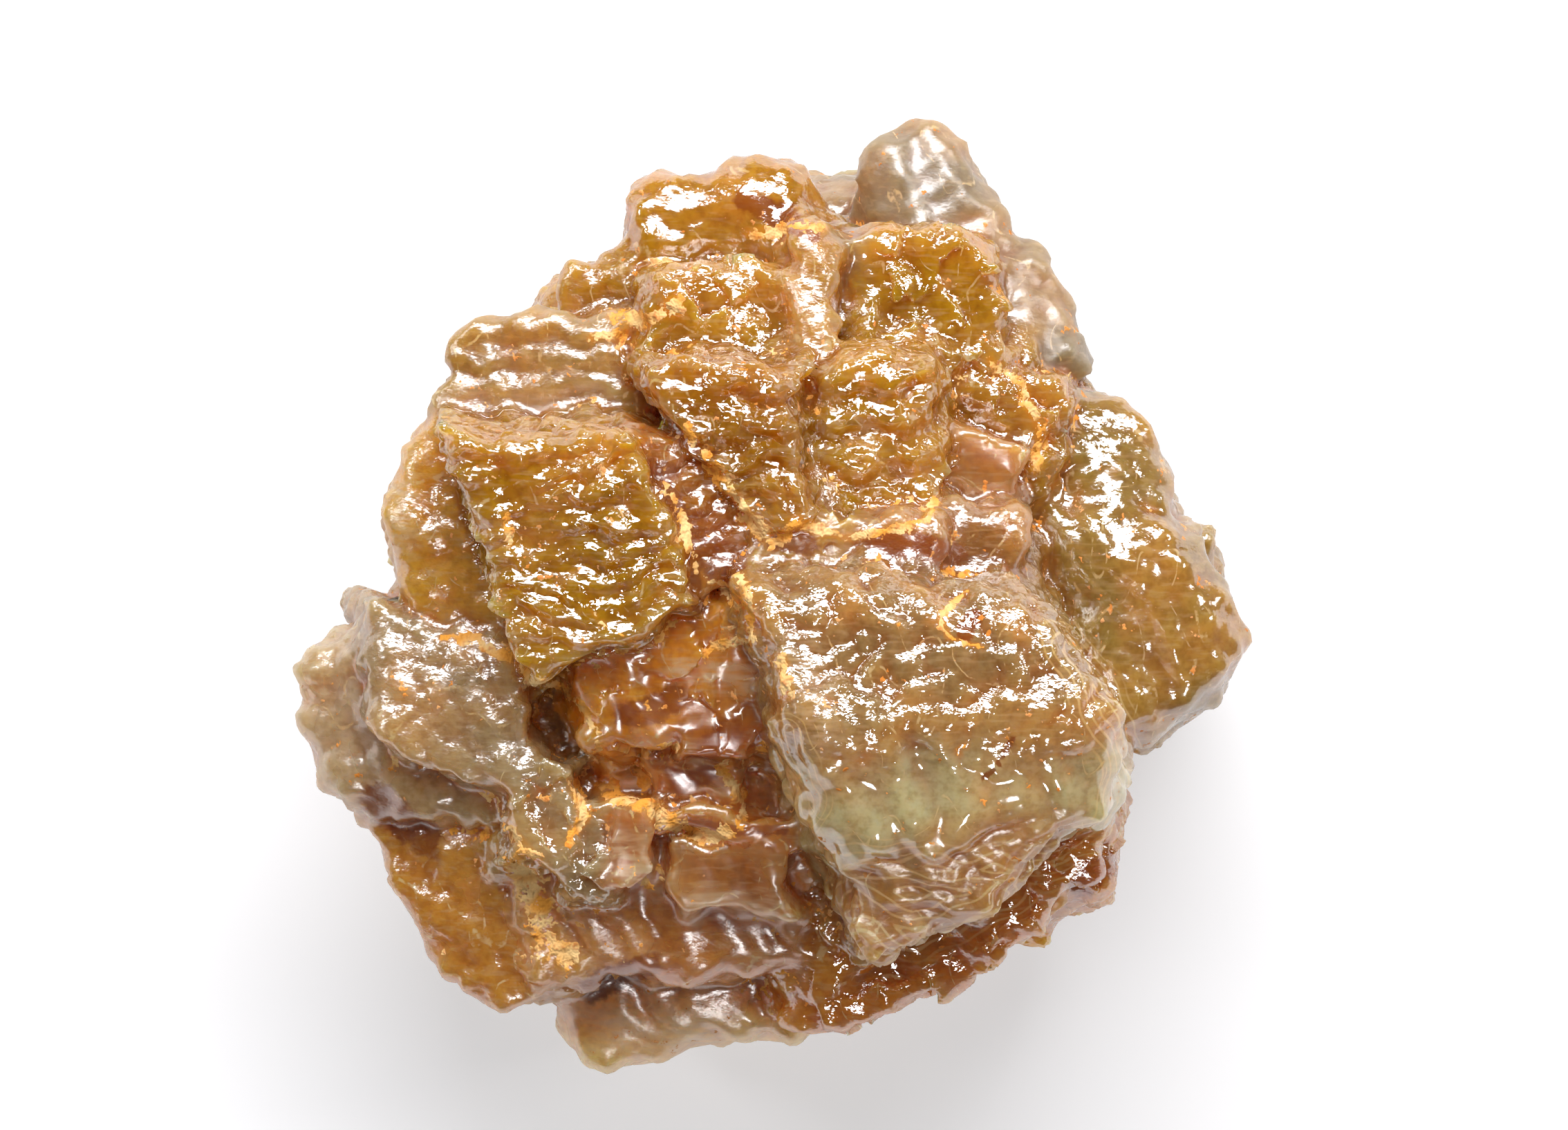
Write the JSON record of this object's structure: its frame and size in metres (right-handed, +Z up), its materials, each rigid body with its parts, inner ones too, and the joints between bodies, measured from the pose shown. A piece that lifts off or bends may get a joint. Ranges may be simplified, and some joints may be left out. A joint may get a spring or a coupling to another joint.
{
  "type": "rough diamond",
  "caption": "Uncut amber diamond: an intergrown cluster of ridged cuboid crystals with rusty clay in its clefts.",
  "frame": {"origin": "centre of the stone's bounding box in plan, on the surface that it rests on", "axes": "+Z up, through the stone's shortest extent; +X towards the amber crystal on its right and +Y towards its far knobs"},
  "size_m": [0.012, 0.0121, 0.0092],
  "materials": {
    "diamond": "translucent amber diamond with a ridged, glittering skin and ochre clay in the clefts"
  },
  "bodies": {
    "root": {"rough_diamond": "diamond"}
  },
  "joints": []
}
